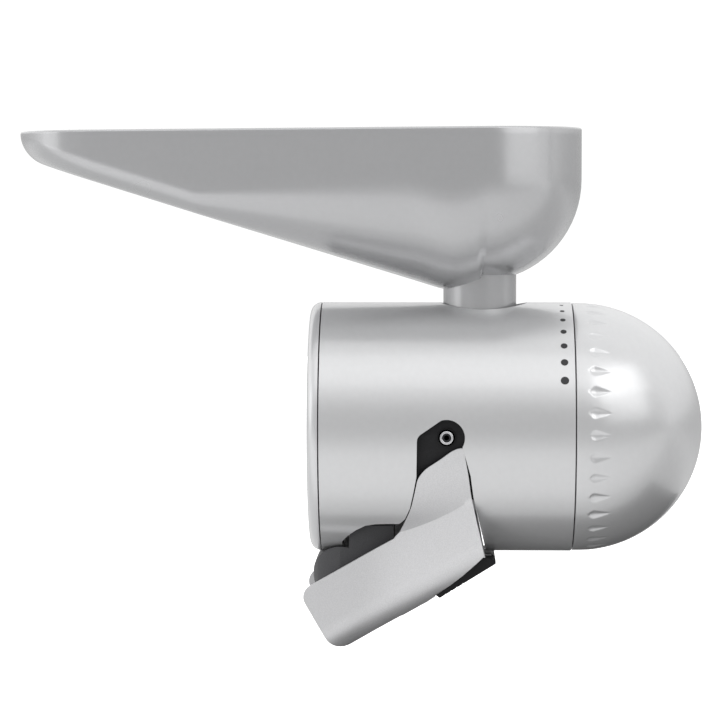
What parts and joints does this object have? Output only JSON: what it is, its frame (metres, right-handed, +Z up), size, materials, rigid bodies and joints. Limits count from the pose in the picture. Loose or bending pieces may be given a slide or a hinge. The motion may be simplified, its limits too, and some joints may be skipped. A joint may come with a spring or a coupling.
{
  "type": "stand mixer grain mill attachment",
  "caption": "Grain mill attachment for a stand mixer: horizontal barrel with stone burrs, round adjusting dome, long open hopper above and a clip-on flour chute below.",
  "frame": {"origin": "on the drive axis, in the plane of the rear face that meets the mixer", "axes": "+X along the drive axis from the mixer to the adjusting dome, +Z up to the hopper, the chute's outlet points to -X"},
  "size_m": [0.274, 0.1, 0.2068],
  "materials": {
    "silver_paint": "glossy",
    "satin_silver": "satin",
    "black_plastic": "satin",
    "dark_plastic": "satin",
    "feed_plastic": "matte",
    "steel": "turned",
    "chrome": "polished",
    "millstone": "rough",
    "bronze": "turned",
    "rubber": "matte"
  },
  "bodies": {
    "barrel": {"housing": "silver_paint", "rear_cover": "silver_paint", "rear_screw_1": "steel", "rear_screw_2": "steel", "rear_screw_3": "steel", "rear_screw_4": "steel", "mounting_shank": "steel", "shank_screw_1": "steel", "shank_screw_2": "steel", "shank_screw_3": "steel", "rear_bearing": "steel", "shaft_seal": "rubber", "milling_chamber": "black_plastic", "side_screw_near": "chrome", "side_screw_far": "chrome", "chute_guard": "dark_plastic", "feed_socket": "feed_plastic", "guide_plate": "feed_plastic", "dome_retainer": "steel", "retainer_screw_1": "steel", "retainer_screw_2": "steel", "retainer_screw_3": "steel"},
    "drive": {"drive_shaft": "steel", "shaft_circlip": "steel", "rotor_plate": "steel", "rotating_stone": "millstone", "feed_auger": "feed_plastic"},
    "stone_slide": {"fixed_stone": "millstone", "stone_sleeve": "feed_plastic", "shaft_bush": "bronze"},
    "dome": {"dome_knob": "silver_paint", "dome_back_plate": "feed_plastic", "dome_spindle": "steel"},
    "hopper": {"hopper": "silver_paint"},
    "spout": {"spout": "satin_silver"},
    "latch": {"spout_latch": "black_plastic", "latch_pin": "steel"}
  },
  "joints": [
    {"name": "drive_spin", "type": "hinge", "parent": "barrel", "child": "drive", "pos_m": [0, 0, 0], "axis": [1, 0, 0], "continuous": true},
    {"name": "dome_turn", "type": "hinge", "parent": "barrel", "child": "dome", "pos_m": [0.1074, 0, 0], "axis": [1, 0, 0], "range_deg": [0, 144]},
    {"name": "stone_feed", "type": "slide", "parent": "barrel", "child": "stone_slide", "axis": [1, 0, 0], "range_m": [-0.0013, 0]},
    {"name": "hopper_lift", "type": "slide", "parent": "barrel", "child": "hopper", "axis": [0, 0, 1], "range_m": [0, 0.03]},
    {"name": "spout_release", "type": "slide", "parent": "barrel", "child": "spout", "axis": [0, 0, -1], "range_m": [0, 0.055]},
    {"name": "latch_press", "type": "hinge", "parent": "spout", "child": "latch", "pos_m": [0.0702, 0, -0.053], "axis": [0, -1, 0], "range_deg": [0, 12], "stiffness_Nm_per_rad": 0.05}
  ],
  "couplings": [
    {"joint": "stone_feed", "follows": "dome_turn", "m_per_rad": -0.000477}
  ]
}
